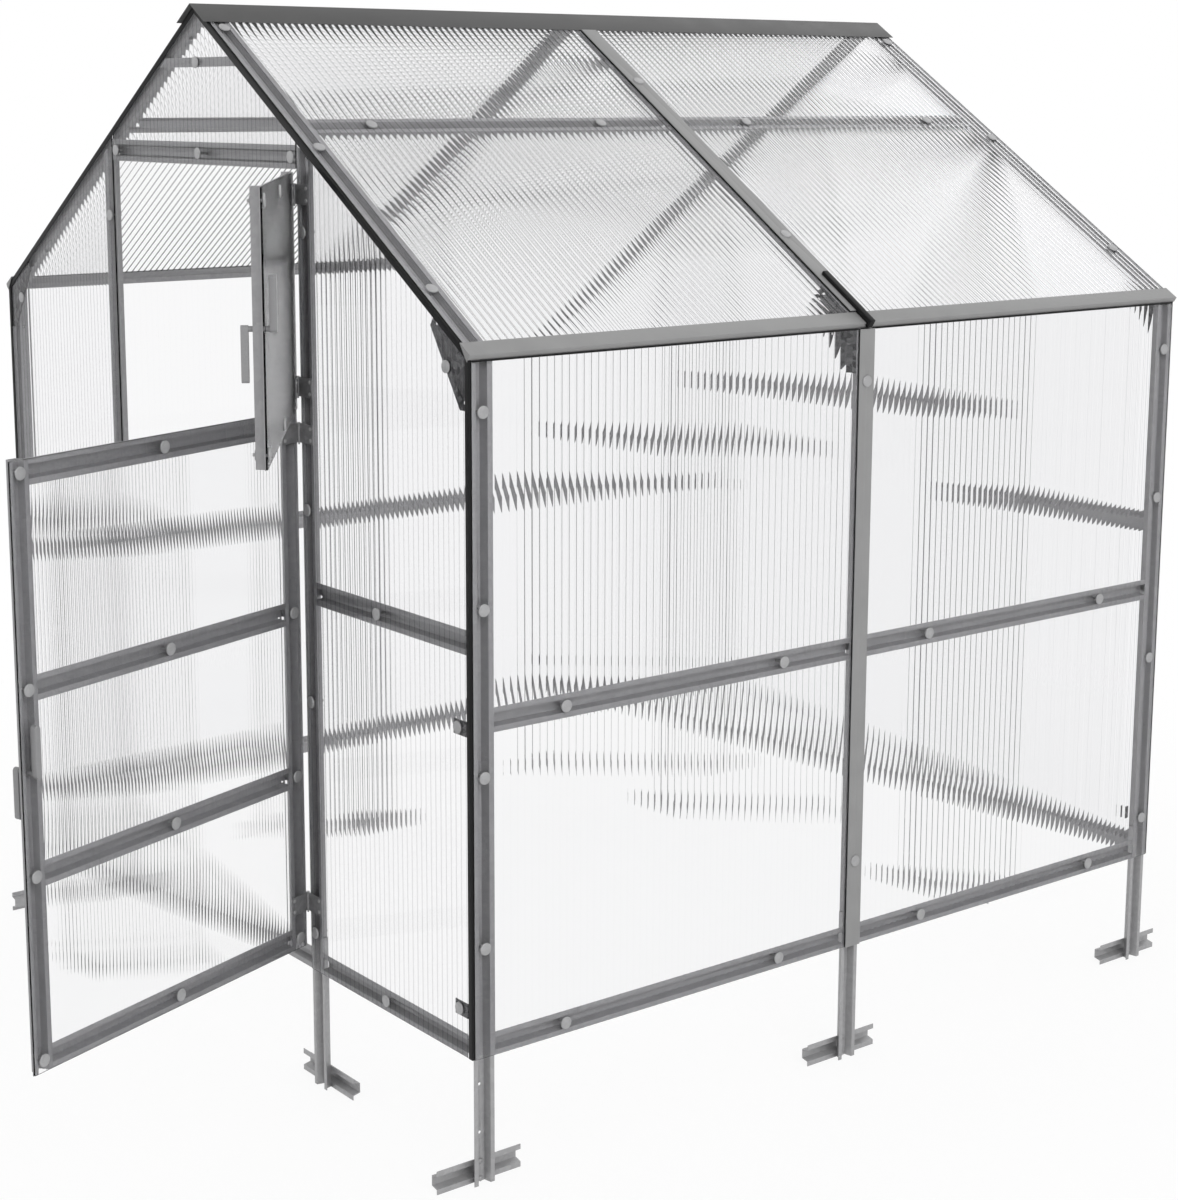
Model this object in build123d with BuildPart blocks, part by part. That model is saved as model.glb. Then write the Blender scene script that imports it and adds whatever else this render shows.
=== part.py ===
"""Gable-roof greenhouse with a two-leaf door: hat-bar frame, clear sheets, trim, legs and latches.

Millimetres, +Z up. The origin is the middle of the footprint, on the ground under the legs. The door
gable faces -Y. Every wall, roof slope and door leaf has a plane of its own, in which u runs along the
wall, v runs up and w points out of the house. The outer faces of the bars lie at w = 0.
"""

import os
from math import cos, radians, sin, tan

from build123d import *

os.makedirs("parts", exist_ok=True)

# The house
house_width = 2000.0
house_depth = 2010.0
eave_height = 1365.0
roof_pitch = 33.0
leg_drop = 262.0
leg_lap = 75.0

# The folded hat bar
bar_width = 48.0
bar_depth = 18.0
bar_wall = 1.5
groove_width = 26.0
web_slant = 12.0
nest_gap = 0.3
tongue_width = 16.0
tongue_root = 20.0
tongue_gap = 2.0

# Heights of the rails above the base line, the drop of the collar under the ridge, and the purlin's place up the slope
side_rail_height = 671.0
gable_rail_height = 824.0
rear_tie_height = 1034.0
collar_drop = 115.4
collar_width = 20.0
collar_depth = 9.0
purlin_place = 738.0

# Door opening and leaves; the head of the opening lies a fixed drop under the slope
door_width = 802.0
head_drop = 70.0
leaf_split = 1200.0
leaf_clearance = 4.0
latch_clearance = 8.0
split_clearance = 5.0
lower_open_angle = 109.7
upper_open_angle = 145.5
lower_rail_heights = (430.0, 780.0)

# Hinges
hinge_height = 40.0
hinge_plate = 1.5
hinge_inset = 45.0
hinge_foot_inset = 98.0
knuckle_radius = 3.8
knuckle_gap = 0.2
pin_radius = 2.0
pin_clearance = 0.05

# Latches
lever_size = 13.0
lever_reach = 92.0
inner_lever_gap = 8.0
outer_lever_gap = 6.0
spindle_radius = 5.0
spindle_clearance = 0.06

# Sheets and trim
sheet_thick = 4.0
sheet_joint = 8.0
sheet_edge = 2.0
wall_sheet_drop = 12.5
strip_wall = 1.5
edge_strip_width = 11.5
top_strip_width = 1.5
strip_joint = 0.2
cover_width = 42.0
cover_wall = 2.0
cover_gap = 1.5
seal_width = 6.0
seal_thick = 3.0
flashing_leg = 37.8
flashing_drop = 8.0
flashing_lip = 12.0
flashing_tab = 16.0
flashing_wall = 1.5
flashing_overhang = 8.0
cap_half_width = 59.5
cap_overhang = 15.0
strip_cap_width = 14.5
strip_cap_length = 126.0
strip_cap_thick = 9.0
strip_cap_hook = 6.5
bearer_leg = 30.0
bearer_drop = 14.5
bearer_wall = 2.0

# Gussets, clips and anchors
gusset_arm = 105.0
gusset_rafter_arm = 130.0
gusset_end = 30.0
gusset_thick = 2.0
gusset_hole = 4.0
clip_reach = 42.0
clip_depth = 18.0
clip_height = 30.0
clip_wall = 2.0
anchor_length = 200.0

# Screws, rivets and bolts
disc_radius = 12.5
disc_thick = 3.0
shank_radius = 3.0
shank_clearance = 0.15
screw_stub = 4.0
rivet_radius = 2.0
rivet_head = 4.0
rivet_spread = 12.0
bolt_head = 5.5
bolt_head_thick = 3.5
leg_hole_radius = 3.25
leg_hole_depths = (60.0, 160.0)

# Places of the screws along their bars
post_screw_heights = {"front": (223.0, 562.0, 886.0), "mid": (196.0,), "rear": (100.0, 501.0, 892.0)}
eave_screw_drops = {"front": 107.0, "mid": 122.0, "rear": 120.0}
rafter_screw_shares = {"front": (0.161, 0.5535, 0.925), "mid": (0.2516, 0.7548), "rear": (0.161, 0.5535, 0.925)}
side_rail_screws = (-787.0, -216.0, 216.0, 787.0)
purlin_screws = (-815.0, -215.0, 215.0, 815.0)
gable_post_heights = (86.0, 590.0, 995.0)
head_screw_drop = 124.0
gable_rail_screw = 680.0
gable_base_screw = 697.0
clip_screw_heights = (95.0, 656.0)
clip_screw_inset = 25.0
gusset_screw_side = 72.0
gusset_screw_drop = 28.0
lintel_screw_inset = 16.0

# Values that follow from the sizes above
half_width = house_width / 2
half_depth = house_depth / 2
half_bar = bar_width / 2
slope_sin = sin(radians(roof_pitch))
slope_cos = cos(radians(roof_pitch))
groove_depth = bar_depth - bar_wall
flange_width = (bar_width - groove_width) / 2
web_run = tan(radians(web_slant))
web_skin = bar_wall / cos(radians(web_slant))
slope_length = half_width / slope_cos
gable_slope = slope_sin / slope_cos
ridge_height = eave_height + half_width * gable_slope
collar_height = ridge_height - collar_drop
door_head = ridge_height - door_width / 2 * gable_slope - head_drop
leg_groove = groove_depth + nest_gap
leg_opening = groove_width + 2 * (web_skin - bar_wall * web_run + nest_gap)
leg_back = bar_wall + leg_groove + bar_wall
post_line = half_depth - half_bar
door_post_line = door_width / 2 + half_bar
base_line = half_bar
lintel_line = door_head + half_bar
tongue_reach = half_bar - tongue_gap
bar_screw_tip = bar_depth + bar_wall + screw_stub
screw_hole = shank_radius + shank_clearance
rivet_hole = rivet_radius + shank_clearance
hinge_proud = sheet_thick + hinge_plate
hinge_x = door_width / 2 - leaf_clearance / 2
hinge_start = knuckle_radius + 1.0
hinge_reach = leaf_clearance / 2 + bar_width + 2.0
rivet_line = leaf_clearance / 2 + bar_width - flange_width / 2
leaf_hinge_edge = -leaf_clearance / 2
leaf_free_edge = leaf_hinge_edge - (door_width - leaf_clearance - latch_clearance)
hinge_stile_line = leaf_hinge_edge - half_bar
free_stile_line = leaf_free_edge + half_bar
lower_foot = bar_width + leaf_clearance
lower_top = leaf_split - split_clearance / 2
upper_foot = leaf_split + split_clearance / 2
upper_top = door_head - leaf_clearance
cover_seat = sheet_thick + seal_thick + cover_wall
flashing_top = flashing_leg - flashing_drop
cover_foot = flashing_top + cover_gap
half_cover = cover_width / 2
cover_top = slope_length - cap_half_width / slope_cos
field_left = door_post_line + half_bar
field_right = half_width - bar_depth
base_right = half_width - leg_back
middle_half = door_post_line - half_bar
clip_screw_line = field_right - clip_screw_inset
post_screws = {
    frame: heights + (eave_height - eave_screw_drops[frame],) for frame, heights in post_screw_heights.items()
}
rafter_screws = {
    frame: [share * slope_length for share in shares] for frame, shares in rafter_screw_shares.items()
}
gable_post_screws = gable_post_heights + (door_head - head_screw_drop,)


def spot(x, y, z):
    """A point of the house, with z measured from the base line under the base rails."""
    return Vector(x, y, z + leg_drop)


def roof_normal(side):
    """The outward direction of the right (1) or left (-1) roof slope."""
    return Vector(side * slope_sin, 0, slope_cos)


def leaf_plane(angle):
    """The plane of a door leaf that has been opened by an angle about its hinge pins."""
    out = Vector(0, -1, 0).rotate(Axis.Z, angle)
    to_hinge = Vector(1, 0, 0).rotate(Axis.Z, angle)
    pin = spot(hinge_x, -half_depth - hinge_proud, 0)
    return Plane(origin=pin - out * hinge_proud, x_dir=to_hinge, z_dir=out)


def section_plane(y):
    """An upright plane across the house, in which x runs right and y runs up from the base line."""
    return Plane(origin=spot(0, y, 0), x_dir=(1, 0, 0), z_dir=(0, -1, 0))


right_wall = Plane(origin=spot(half_width, 0, 0), x_dir=(0, 1, 0), z_dir=(1, 0, 0))
left_wall = Plane(origin=spot(-half_width, 0, 0), x_dir=(0, -1, 0), z_dir=(-1, 0, 0))
front_wall = section_plane(-half_depth)
rear_wall = Plane(origin=spot(0, half_depth, 0), x_dir=(-1, 0, 0), z_dir=(0, 1, 0))
right_roof = Plane(origin=spot(half_width, 0, eave_height), x_dir=(0, 1, 0), z_dir=roof_normal(1))
left_roof = Plane(origin=spot(-half_width, 0, eave_height), x_dir=(0, -1, 0), z_dir=roof_normal(-1))
lower_leaf = leaf_plane(lower_open_angle)
upper_leaf = leaf_plane(upper_open_angle)
side_walls = {"left": left_wall, "right": right_wall}
side_roofs = {"left": left_roof, "right": right_roof}
side_signs = {"left": -1, "right": 1}
gable_walls = {"front": front_wall, "rear": rear_wall}
gable_faces = (front_wall, section_plane(-half_bar), rear_wall)
frame_lines = {"front": -post_line, "mid": 0.0, "rear": post_line}
bays = ((-post_line + half_bar, -half_bar), (half_bar, post_line - half_bar))


def at(wall, u, v, w=0.0):
    """The point of a wall with the given coordinates."""
    return wall.from_local_coords((u, v, w))


def face_plane(wall, u, v, w=0.0):
    """A plane that looks out of a wall at the given point."""
    return Plane(origin=at(wall, u, v, w), x_dir=wall.x_dir, z_dir=wall.z_dir)


def cross_plane(wall, start, end, w=0.0):
    """The plane across a bar that lies on a wall: x across the bar, y out of the wall."""
    base = at(wall, start[0], start[1], w)
    along = (at(wall, end[0], end[1], w) - base).normalized()
    return Plane(origin=base, x_dir=wall.z_dir.cross(along), z_dir=along)


def span(start, end):
    """The distance between two points of a wall."""
    return ((end[0] - start[0]) ** 2 + (end[1] - start[1]) ** 2) ** 0.5


def eave_point(side, v, w):
    """A point beside the eave in an upright section, given up the slope (v) and out of it (w)."""
    x = half_width - v * slope_cos + w * slope_sin
    return (side * x, eave_height + v * slope_sin + w * slope_cos)


def eave_mitre(side, shift=0.0):
    """The plane that halves the corner between a post and its rafter, looking up at the rafter."""
    normal = Vector(-side * slope_cos, 0, 1 + slope_sin).normalized()
    return Plane(origin=spot(side * half_width, 0, eave_height) + normal * shift, z_dir=normal)


def ridge_mitre(side, shift=0.0):
    """The upright plane under the ridge, looking at the right (1) or left (-1) slope."""
    return Plane(origin=(side * shift, 0, 0), z_dir=(side, 0, 0))


def crown_plane(side):
    """The plane of the rafter backs on the right (1) or left (-1) slope."""
    roof = right_roof if side > 0 else left_roof
    return Plane(origin=at(roof, 0, 0, -bar_depth), z_dir=roof_normal(side))


def hat_outline(opening, depth):
    """The closed outline of a folded hat, its flanges on the line y = 0 and its groove open towards +y."""
    floor_half = opening / 2 - depth * web_run
    root_half = opening / 2 + web_skin - bar_wall * web_run
    back_half = opening / 2 + web_skin - (depth + bar_wall) * web_run
    right_face = [(half_bar, 0), (opening / 2, 0), (floor_half, -depth)]
    right_back = [(back_half, -depth - bar_wall), (root_half, -bar_wall), (half_bar, -bar_wall)]
    left_face = [(-x, y) for x, y in reversed(right_face)]
    left_back = [(-x, y) for x, y in reversed(right_back)]
    return right_face + left_face + left_back + right_back


def screw_holes(points):
    """Screw holes at the given points of a wall."""
    return [(u, v, screw_hole) for u, v in points]


def hat_bar(wall, start, end, holes=(), trims=(), opening=groove_width, depth=groove_depth, w=0.0):
    """A hat bar on a wall, with its holes and its ends cut by planes."""
    with BuildPart() as bar:
        with BuildSketch(cross_plane(wall, start, end, w)):
            with BuildLine():
                Polyline(*hat_outline(opening, depth), close=True)
            make_face()
        extrude(amount=span(start, end))
        for u, v, radius in holes:
            with Locations(face_plane(wall, u, v, w + 1)):
                Hole(radius, depth=depth + 2 * bar_wall + 1)
        for plane, kept in trims:
            split(bisect_by=plane, keep=kept)
    return bar.part


def tongued_rail(wall, left, right, height, holes=(), left_reach=tongue_reach, right_reach=tongue_reach):
    """A level hat bar whose back carries a flat tongue at each end, to lie behind the next bar."""
    with BuildPart() as rail:
        with BuildSketch(cross_plane(wall, (left, height), (right, height))):
            with BuildLine():
                Polyline(*hat_outline(groove_width, groove_depth), close=True)
            make_face()
        extrude(amount=right - left)
        for end, side, reach in ((left, -1, left_reach), (right, 1, right_reach)):
            if reach > 0:
                with BuildSketch(face_plane(wall, end + side * (reach - tongue_root) / 2, height, -bar_depth)):
                    Rectangle(reach + tongue_root, tongue_width)
                extrude(amount=-bar_wall)
        for u, v, radius in holes:
            with Locations(face_plane(wall, u, v, 1)):
                Hole(radius, depth=bar_depth + bar_wall + 2)
    return rail.part


def sheet(wall, outline, holes=()):
    """A flat sheet on the outside of a wall, with its holes."""
    with BuildPart() as piece:
        with BuildSketch(wall):
            with BuildLine():
                Polyline(*outline, close=True)
            make_face()
            for u, v, radius in holes:
                with Locations((u, v)):
                    Circle(radius, mode=Mode.SUBTRACT)
        extrude(amount=sheet_thick)
    return piece.part


def edge_strip(wall, start, end, width, trims=()):
    """An angle strip along a sheet edge, walked with the sheet on its left as seen from outside."""
    outer = sheet_thick + strip_wall
    outline = [
        (-strip_wall, 0),
        (0, 0),
        (0, sheet_thick),
        (width, sheet_thick),
        (width, outer),
        (-strip_wall, outer),
    ]
    with BuildPart() as strip:
        with BuildSketch(cross_plane(wall, start, end)):
            with BuildLine():
                Polyline(*outline, close=True)
            make_face()
        extrude(amount=span(start, end))
        for plane, kept in trims:
            split(bisect_by=plane, keep=kept)
    return strip.part


def flat_strip(wall, left, right, foot, top, seat, thick, holes=()):
    """A flat strip that lies on a wall, from a seat outwards."""
    with BuildPart() as strip:
        with BuildSketch(face_plane(wall, 0, 0, seat)):
            with Locations(((left + right) / 2, (foot + top) / 2)):
                Rectangle(right - left, top - foot)
            for u, v, radius in holes:
                with Locations((u, v)):
                    Circle(radius, mode=Mode.SUBTRACT)
        extrude(amount=thick)
    return strip.part


def folded(outline, start, end):
    """A folded profile drawn in an upright section of the house and run from one depth to another."""
    with BuildPart() as profile:
        with BuildSketch(section_plane(start)):
            with BuildLine():
                Polyline(*outline, close=True)
            make_face()
        extrude(amount=start - end)
    return profile.part


def corner_clip(wall, sign, height):
    """A small angle from the back of a corner post to the gable sheet, with a hole for its screw."""
    foot = at(wall, 0, height - clip_height / 2)
    with BuildPart() as clip:
        with BuildSketch(Plane(origin=foot, x_dir=wall.x_dir, z_dir=(0, 0, 1))):
            with BuildLine():
                Polyline(
                    (sign * field_right, 0),
                    (sign * (field_right - clip_reach), 0),
                    (sign * (field_right - clip_reach), clip_wall),
                    (sign * (field_right - clip_wall), clip_wall),
                    (sign * (field_right - clip_wall), clip_depth),
                    (sign * field_right, clip_depth),
                    close=True,
                )
            make_face()
        extrude(amount=clip_height)
        with Locations(face_plane(wall, sign * clip_screw_line, height, 1)):
            Hole(screw_hole, depth=clip_wall + 2)
    return clip.part


def hinge_half(base, height, direction, knuckles):
    """One half of a hinge: a plate beside the pin, its knuckles round the pin and its rivet holes."""
    with BuildPart() as half:
        with BuildSketch(face_plane(base, 0, height, sheet_thick)):
            with Locations((direction * (hinge_start + hinge_reach) / 2, 0)):
                Rectangle(hinge_reach - hinge_start, hinge_height)
            with Locations(*[(direction * rivet_line, side * rivet_spread) for side in (-1, 1)]):
                Circle(rivet_hole, mode=Mode.SUBTRACT)
        extrude(amount=hinge_plate)
        for foot, top in knuckles:
            with BuildSketch(Plane(origin=at(base, 0, height + foot), x_dir=base.x_dir, z_dir=(0, 0, 1))):
                with Locations((0, -hinge_proud)):
                    Circle(knuckle_radius)
                with Locations((direction * (hinge_start + 1) / 2, -sheet_thick - hinge_plate / 2 - 0.25)):
                    Rectangle(hinge_start + 1, hinge_plate - 0.5)
                with Locations((0, -hinge_proud)):
                    Circle(pin_radius + pin_clearance, mode=Mode.SUBTRACT)
            extrude(amount=top - foot)
    return half.part


def latch(leaf, height):
    """A latch in one piece: outer lever up, spindle through the free stile, inner lever down."""
    travel = lever_reach - lever_size / 2
    with BuildPart() as lever:
        with BuildSketch(face_plane(leaf, free_stile_line, height, sheet_thick + outer_lever_gap)):
            with Locations((0, travel / 2)):
                SlotCenterToCenter(travel, lever_size, rotation=90)
        extrude(amount=lever_size)
        with BuildSketch(face_plane(leaf, free_stile_line, height, -bar_depth - inner_lever_gap)):
            with Locations((0, -travel / 2)):
                SlotCenterToCenter(travel, lever_size, rotation=90)
        extrude(amount=-lever_size)
        with BuildSketch(face_plane(leaf, free_stile_line, height, -bar_depth - inner_lever_gap - lever_size / 2)):
            Circle(spindle_radius)
        extrude(amount=bar_depth + inner_lever_gap + sheet_thick + outer_lever_gap + lever_size)
    return lever.part


def keep(piece, name):
    """Labels a finished piece and writes it."""
    piece.label = name
    export_step(piece, f"parts/{name}.step")


# Three portal frames: a post and a rafter on each side, mitred at the eave
for frame, depth_line in frame_lines.items():
    for side, sign in side_signs.items():
        line = sign * depth_line
        with BuildPart() as post:
            add(
                hat_bar(
                    side_walls[side],
                    (line, 0),
                    (line, eave_height + bar_width),
                    screw_holes([(line, v) for v in post_screws[frame]]),
                    [(eave_mitre(sign), Keep.BOTTOM)],
                )
            )
        keep(post.part, f"{frame}_{side}_post")

        with BuildPart() as rafter:
            add(
                hat_bar(
                    side_roofs[side],
                    (line, -bar_width),
                    (line, slope_length + bar_width),
                    screw_holes([(line, v) for v in rafter_screws[frame]]),
                    [(eave_mitre(sign), Keep.TOP), (ridge_mitre(sign), Keep.TOP)],
                )
            )
        keep(rafter.part, f"{frame}_{side}_rafter")

# Hinge heights, lower leaf first
lower_hinges = (lower_foot + hinge_foot_inset, lower_top - hinge_inset)
upper_hinges = (upper_foot + hinge_inset, upper_top - hinge_inset)
hinge_rivets = [
    (hinge_x + rivet_line, height + side * rivet_spread, rivet_hole)
    for height in lower_hinges + upper_hinges
    for side in (-1, 1)
]

# Door posts at the front and studs at the rear, cut to the slope under the rafters
for gable, wall in gable_walls.items():
    turn = 1 if gable == "front" else -1
    for side, sign in side_signs.items():
        line = turn * sign * door_post_line
        holes = screw_holes([(line, v) for v in gable_post_screws])
        if (gable, side) == ("front", "right"):
            holes = holes + hinge_rivets
        with BuildPart() as gable_post:
            add(hat_bar(wall, (line, 0), (line, ridge_height), holes, [(crown_plane(sign), Keep.BOTTOM)]))
        keep(gable_post.part, f"{side}_door_post" if gable == "front" else f"rear_{side}_stud")

# Legs nested behind the posts, with holes for fixing them and for their anchors
leg_places = [(side_walls[side], sign * line) for side, sign in side_signs.items() for line in frame_lines.values()]
leg_places = leg_places + [(wall, sign * door_post_line) for wall in gable_walls.values() for sign in (-1, 1)]
anchor_line = half_bar - leg_drop
anchor_bolts = (anchor_line - half_bar + flange_width / 2, anchor_line + half_bar - flange_width / 2)
with BuildPart() as legs:
    for wall, line in leg_places:
        leg_holes = [(line, -drop, leg_hole_radius) for drop in leg_hole_depths]
        leg_holes = leg_holes + screw_holes([(line, v) for v in anchor_bolts])
        add(hat_bar(wall, (line, -leg_drop), (line, leg_lap), leg_holes, (), leg_opening, leg_groove, -bar_wall))
keep(legs.part, "legs")

with BuildPart() as anchors:
    for wall, line in leg_places:
        tips = ((line - anchor_length / 2, anchor_line), (line + anchor_length / 2, anchor_line))
        holes = screw_holes([(line, v) for v in anchor_bolts])
        add(hat_bar(wall, tips[0], tips[1], holes, (), groove_width, groove_depth, -leg_back))
keep(anchors.part, "anchors")

# Base rails and mid rails of the long walls, one for each bay
for side, wall in side_walls.items():
    with BuildPart() as base_rails:
        for left, right in bays:
            holes = screw_holes([(u, base_line) for u in side_rail_screws if left < u < right])
            add(hat_bar(wall, (left, base_line), (right, base_line), holes))
    keep(base_rails.part, f"{side}_base_rails")

    with BuildPart() as mid_rails:
        for left, right in bays:
            holes = screw_holes([(u, side_rail_height) for u in side_rail_screws if left < u < right])
            add(tongued_rail(wall, left, right, side_rail_height, holes))
    keep(mid_rails.part, f"{side}_mid_rails")

# Base rails and rails of the gables: side fields and middle field
for gable, wall in gable_walls.items():
    with BuildPart() as gable_base:
        for left, right, screw in (
            (-base_right, -field_left, -gable_base_screw),
            (-middle_half, middle_half, 0.0),
            (field_left, base_right, gable_base_screw),
        ):
            holes = [] if gable == "front" and screw == 0.0 else screw_holes([(screw, base_line)])
            add(hat_bar(wall, (left, base_line), (right, base_line), holes))
    keep(gable_base.part, f"{gable}_base_rails")

    with BuildPart() as gable_rails:
        holes = screw_holes([(-gable_rail_screw, gable_rail_height)])
        add(tongued_rail(wall, -field_right, -field_left, gable_rail_height, holes, 0.0, tongue_reach))
        holes = screw_holes([(gable_rail_screw, gable_rail_height)])
        add(tongued_rail(wall, field_left, field_right, gable_rail_height, holes, tongue_reach, 0.0))
        if gable == "rear":
            holes = screw_holes([(0, rear_tie_height)])
            add(tongued_rail(wall, -middle_half, middle_half, rear_tie_height, holes))
    keep(gable_rails.part, f"{gable}_gable_rails")

# Lintels between the door posts and between the rear studs
lintel_screws = [(u, lintel_line) for u in (lintel_screw_inset - middle_half, 0.0, middle_half - lintel_screw_inset)]
with BuildPart() as lintels:
    for wall in gable_walls.values():
        add(tongued_rail(wall, -middle_half, middle_half, lintel_line, screw_holes(lintel_screws)))
keep(lintels.part, "lintels")

# Collar ties under the ridge, in all three frames: channels with ends cut to the slope
collar_top = collar_height + collar_width / 2
collar_foot = collar_height - collar_width / 2
flange_apex = ridge_height - bar_wall / slope_cos
collar_top_half = (flange_apex - collar_top) * slope_cos / slope_sin
collar_foot_half = (flange_apex - collar_foot) * slope_cos / slope_sin
with BuildPart() as collar_ties:
    for face in gable_faces:
        with BuildSketch(face):
            with BuildLine():
                Polyline(
                    (-collar_foot_half, collar_foot),
                    (collar_foot_half, collar_foot),
                    (collar_top_half, collar_top),
                    (-collar_top_half, collar_top),
                    close=True,
                )
            make_face()
            with Locations((0, collar_height)):
                Circle(screw_hole, mode=Mode.SUBTRACT)
        extrude(amount=-collar_depth)
        with BuildSketch(face_plane(face, 0, collar_height, -bar_wall)):
            Rectangle(house_width, collar_width - 2 * bar_wall)
        extrude(amount=-collar_depth, mode=Mode.SUBTRACT)
keep(collar_ties.part, "collar_ties")

# Purlins between the rafters
with BuildPart() as purlins:
    for roof in side_roofs.values():
        for left, right in bays:
            holes = screw_holes([(u, purlin_place) for u in purlin_screws if left < u < right])
            add(tongued_rail(roof, left, right, purlin_place, holes))
keep(purlins.part, "purlins")

# Folded bearers under the sheet edges at the ridge and along the eaves
ridge_angle = [(0, ridge_height)]
for sign in (1, -1):
    tip = (bearer_leg * slope_cos, ridge_height - bearer_leg * slope_sin)
    back = (tip[0] - bearer_wall * slope_sin, tip[1] - bearer_wall * slope_cos)
    if sign > 0:
        ridge_angle = ridge_angle + [tip, back, (0, ridge_height - bearer_wall / slope_cos)]
    else:
        ridge_angle = ridge_angle + [(-back[0], back[1]), (-tip[0], tip[1])]
with BuildPart() as ridge_angles:
    for start, end in bays:
        add(folded(ridge_angle, start, end))
keep(ridge_angles.part, "ridge_angles")

bearer_corner = eave_height + bearer_wall * (slope_sin - 1) / slope_cos
with BuildPart() as eave_angles:
    for sign in side_signs.values():
        eave_angle = [
            (sign * half_width, eave_height),
            (sign * half_width, eave_height - bearer_drop),
            (sign * (half_width - bearer_wall), eave_height - bearer_drop),
            (sign * (half_width - bearer_wall), bearer_corner),
            eave_point(sign, bearer_leg, -bearer_wall),
            eave_point(sign, bearer_leg, 0),
        ]
        for start, end in bays:
            add(folded(eave_angle, start, end))
keep(eave_angles.part, "eave_angles")

# Gusset plates inside the eave corners of the three frames
gusset_corner = eave_height + bar_wall * (slope_sin - 1) / slope_cos
gusset_screw = (half_width - gusset_screw_side, eave_height - gusset_screw_drop)
with BuildPart() as gusset_plates:
    for face in gable_faces:
        for sign in side_signs.values():
            post_face = half_width - bar_wall
            rafter_near = eave_point(sign, gusset_rafter_arm, -bar_wall)
            rafter_far = eave_point(sign, gusset_rafter_arm, -bar_wall - gusset_end)
            with BuildSketch(face):
                with BuildLine():
                    Polyline(
                        (sign * post_face, gusset_corner),
                        (sign * post_face, eave_height - gusset_arm),
                        (sign * (post_face - gusset_end), eave_height - gusset_arm),
                        rafter_far,
                        rafter_near,
                        close=True,
                    )
                make_face()
                with Locations((sign * gusset_screw[0], gusset_screw[1])):
                    Circle(screw_hole, mode=Mode.SUBTRACT)
                with Locations(
                    (sign * (post_face - gusset_end / 2), eave_height - gusset_arm + gusset_end / 2),
                    eave_point(sign, gusset_rafter_arm - gusset_end / 2, -bar_wall - gusset_end / 2),
                ):
                    Circle(gusset_hole, mode=Mode.SUBTRACT)
            extrude(amount=-gusset_thick)
keep(gusset_plates.part, "gusset_plates")

# Corner clips: small angles from the back of a corner post to the gable sheet
with BuildPart() as corner_clips:
    for wall in gable_walls.values():
        for sign in side_signs.values():
            for height in clip_screw_heights:
                add(corner_clip(wall, sign, height))
keep(corner_clips.part, "corner_clips")

# Sheets of the long walls and of the roof, one for each bay, with a joint over the middle frame
wall_top = eave_height - wall_sheet_drop
roof_foot = flashing_wall + 1.0 - flashing_drop
roof_top = slope_length - sheet_edge
for side, sign in side_signs.items():
    wall = side_walls[side]
    wall_points = [(sign * frame_lines[frame], v) for frame in ("front", "rear") for v in post_screws[frame]]
    wall_points = wall_points + [(u, v) for u in side_rail_screws for v in (base_line, side_rail_height)]
    with BuildPart() as wall_sheets:
        for left, right in ((-half_depth, -sheet_joint / 2), (sheet_joint / 2, half_depth)):
            outline = [(left, sheet_edge), (right, sheet_edge), (right, wall_top), (left, wall_top)]
            add(sheet(wall, outline, screw_holes([point for point in wall_points if left < point[0] < right])))
    keep(wall_sheets.part, f"{side}_wall_sheets")

    roof = side_roofs[side]
    roof_points = [(sign * frame_lines[frame], v) for frame in ("front", "rear") for v in rafter_screws[frame]]
    roof_points = roof_points + [(u, purlin_place) for u in purlin_screws]
    with BuildPart() as roof_sheets:
        for left, right in ((-half_depth, -sheet_joint / 2), (sheet_joint / 2, half_depth)):
            outline = [(left, roof_foot), (right, roof_foot), (right, roof_top), (left, roof_top)]
            add(sheet(roof, outline, screw_holes([point for point in roof_points if left < point[0] < right])))
    keep(roof_sheets.part, f"{side}_roof_sheets")

# Gable sheets: two side fields, and a middle field that at the front only fills the peak
for gable, wall in gable_walls.items():
    front = gable == "front"
    inner = middle_half + sheet_edge + leaf_clearance if front else door_post_line + sheet_joint / 2
    outer = middle_half + sheet_edge if front else door_post_line - sheet_joint / 2
    foot = door_head + sheet_edge if front else sheet_edge
    with BuildPart() as gable_sheets:
        for sign in (-1, 1):
            points = [(gable_rail_screw, gable_rail_height), (gable_base_screw, base_line), gusset_screw]
            points = points + [(clip_screw_line, v) for v in clip_screw_heights]
            if front:
                points = points + [(door_post_line, v) for v in gable_post_screws]
            holes = screw_holes([(sign * u, v) for u, v in points])
            if front and sign > 0:
                holes = holes + hinge_rivets
            outline = [
                (sign * inner, sheet_edge),
                (sign * half_width, sheet_edge),
                (sign * half_width, eave_height),
                (sign * inner, ridge_height - inner * gable_slope),
            ]
            add(sheet(wall, outline, holes))
        points = lintel_screws + [(0.0, collar_height)]
        if not front:
            points = points + [(0.0, base_line), (0.0, rear_tie_height)]
        shoulder = ridge_height - outer * gable_slope
        outline = [(-outer, foot), (outer, foot), (outer, shoulder), (0, ridge_height), (-outer, shoulder)]
        add(sheet(wall, outline, screw_holes(points)))
    keep(gable_sheets.part, f"{gable}_gable_sheets")

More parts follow.
